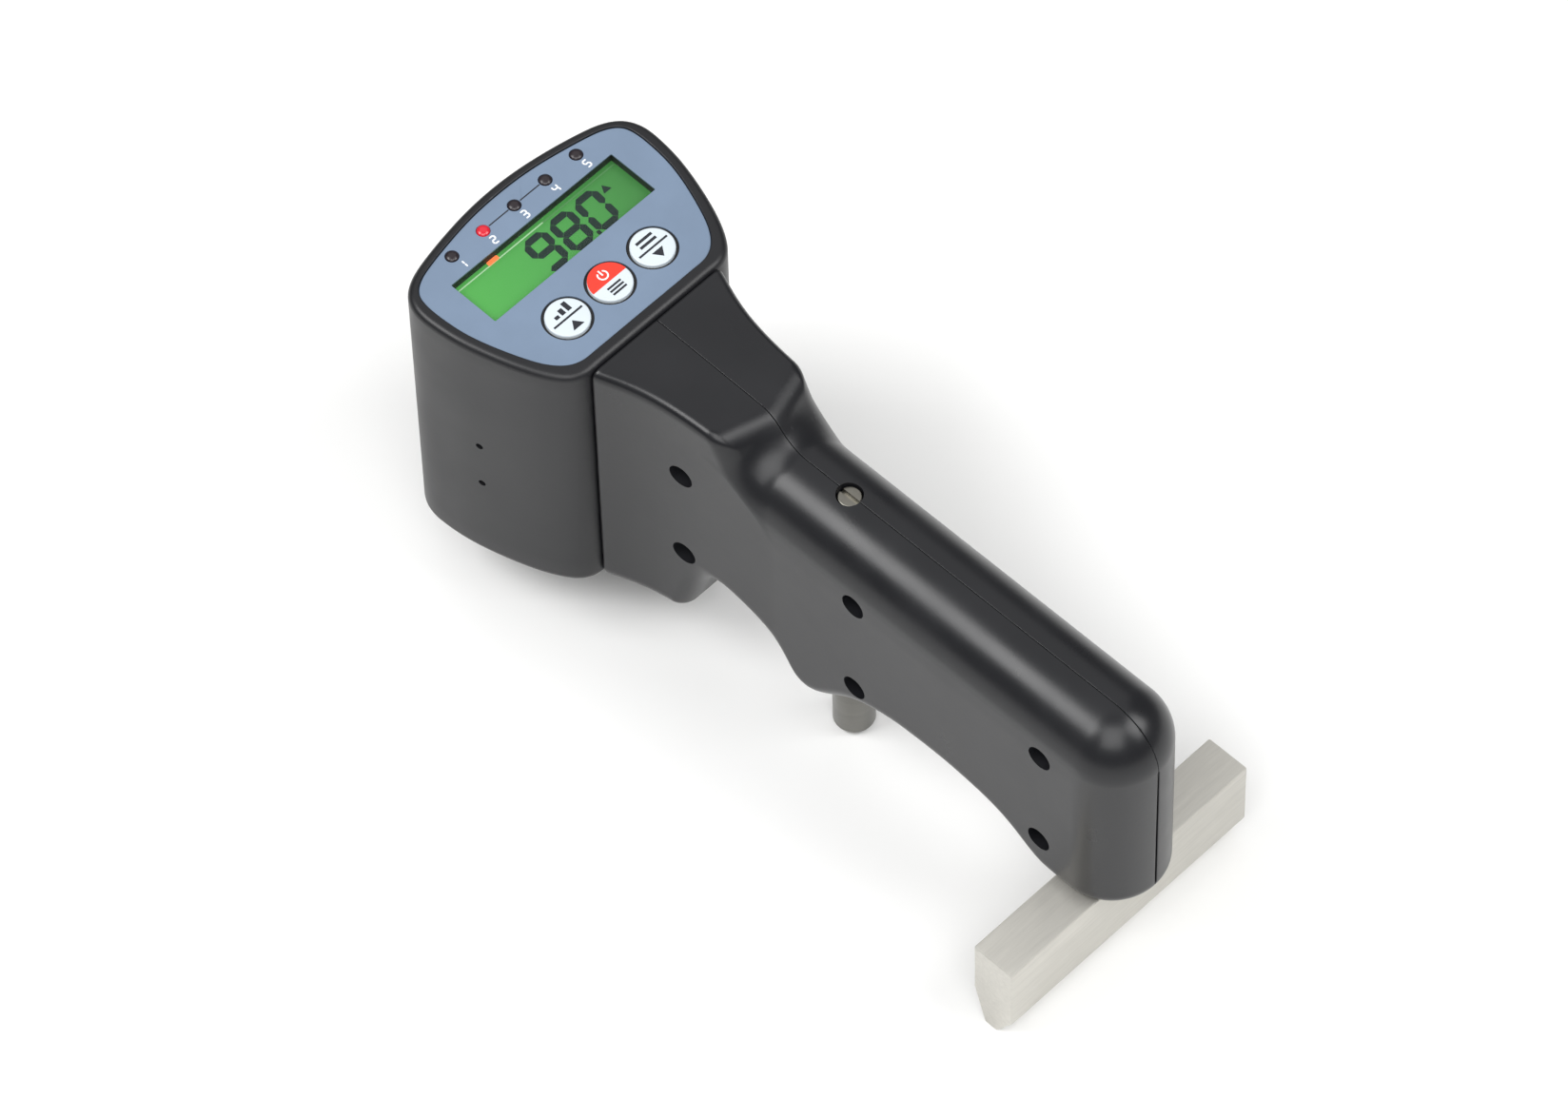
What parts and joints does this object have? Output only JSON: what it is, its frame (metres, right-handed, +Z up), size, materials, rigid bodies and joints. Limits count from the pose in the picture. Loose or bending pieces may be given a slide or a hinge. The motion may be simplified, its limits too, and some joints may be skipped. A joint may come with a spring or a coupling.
{
  "type": "portable hardness tester",
  "caption": "Hand-held digital hardness tester with wide display head, round keys, rounded grip, sprung indenter in a steel sleeve and a steel foot bar.",
  "frame": {"origin": "on the bench, under the middle of the instrument's length and width", "axes": "+X from the display head towards the foot bar, +Z up, display side up; the near side with the screw recesses faces -Y"},
  "size_m": [0.17, 0.0632, 0.0823],
  "materials": {
    "case_plastic": "satin",
    "dark_plastic": "matte",
    "sheet_blue": "fine matte film",
    "clear_pane": "clear",
    "lcd_green": "smooth",
    "light_guide": "smooth",
    "board_green": "solder mask",
    "chip_black": "moulded",
    "switch_grey": "moulded",
    "key_white": "smooth",
    "lamp_red": "clear lens",
    "lamp_dark": "clear lens",
    "cell_foil": "printed foil",
    "contact_steel": "plated",
    "screw_steel": "turned",
    "satin_steel": "ground",
    "frame_steel": "milled",
    "hard_steel": "ground",
    "spring_steel": "drawn",
    "sensor_metal": "turned"
  },
  "bodies": {
    "housing": {"head_case": "case_plastic", "display_bezel": "dark_plastic", "keypad_overlay": "sheet_blue", "lcd_window": "clear_pane", "lcd_glass": "lcd_green", "lcd_backlight": "light_guide", "display_board": "board_green", "board_screws": "screw_steel", "controller_chips": "chip_black", "key_switches": "switch_grey", "led_lit": "lamp_red", "led_unlit": "lamp_dark", "battery_cells": "cell_foil", "battery_contacts": "contact_steel", "battery_holder": "dark_plastic", "grip_shell_near": "case_plastic", "grip_shell_far": "case_plastic", "shell_screws": "screw_steel", "head_screws": "screw_steel", "foot_bar": "satin_steel", "main_frame": "frame_steel", "foot_screws": "screw_steel", "point_sleeve": "satin_steel", "sleeve_lock_nut": "screw_steel", "load_spring": "spring_steel", "lever_pin": "hard_steel", "sensor_body": "sensor_metal"},
    "plunger": {"plunger": "hard_steel", "indenter_point": "hard_steel"},
    "lever": {"transfer_lever": "frame_steel"},
    "core": {"sensor_core": "hard_steel"},
    "key_left": {"button_left": "key_white"},
    "key_power": {"button_power": "key_white"},
    "key_right": {"button_right": "key_white"},
    "door": {"battery_door": "case_plastic"},
    "load_screw": {"load_screw": "screw_steel", "spring_seat": "frame_steel"}
  },
  "joints": [
    {"name": "plunger_slide", "type": "slide", "parent": "housing", "child": "plunger", "axis": [0, 0, 1], "range_m": [0, 0.00076], "stiffness_N_per_m": 40000, "springref_m": -0.00005, "deforming": ["load_spring"]},
    {"name": "lever_pivot", "type": "hinge", "parent": "housing", "child": "lever", "pos_m": [-0.005, 0, 0.0416], "axis": [0, -1, 0], "range_deg": [0, 4.96]},
    {"name": "core_slide", "type": "slide", "parent": "housing", "child": "core", "axis": [0, 0, -1], "range_m": [0, 0.00087]},
    {"name": "left_key_press", "type": "slide", "parent": "housing", "child": "key_left", "axis": [-0.0225, 0, -0.9997], "range_m": [0, 0.0003], "stiffness_N_per_m": 900},
    {"name": "power_key_press", "type": "slide", "parent": "housing", "child": "key_power", "axis": [-0.0225, 0, -0.9997], "range_m": [0, 0.0003], "stiffness_N_per_m": 900},
    {"name": "right_key_press", "type": "slide", "parent": "housing", "child": "key_right", "axis": [-0.0225, 0, -0.9997], "range_m": [0, 0.0003], "stiffness_N_per_m": 900},
    {"name": "door_pull", "type": "slide", "parent": "housing", "child": "door", "axis": [-0.0225, 0, -0.9997], "range_m": [0, 0.012]},
    {"name": "load_screw_turn", "type": "hinge", "parent": "housing", "child": "load_screw", "pos_m": [0.0076, 0, 0.0737], "axis": [0, 0, -1], "range_deg": [0, 360]}
  ],
  "couplings": [
    {"joint": "lever_pivot", "follows": "plunger_slide", "rad_per_m": 113.64},
    {"joint": "core_slide", "follows": "plunger_slide", "ratio": 1.1364}
  ]
}
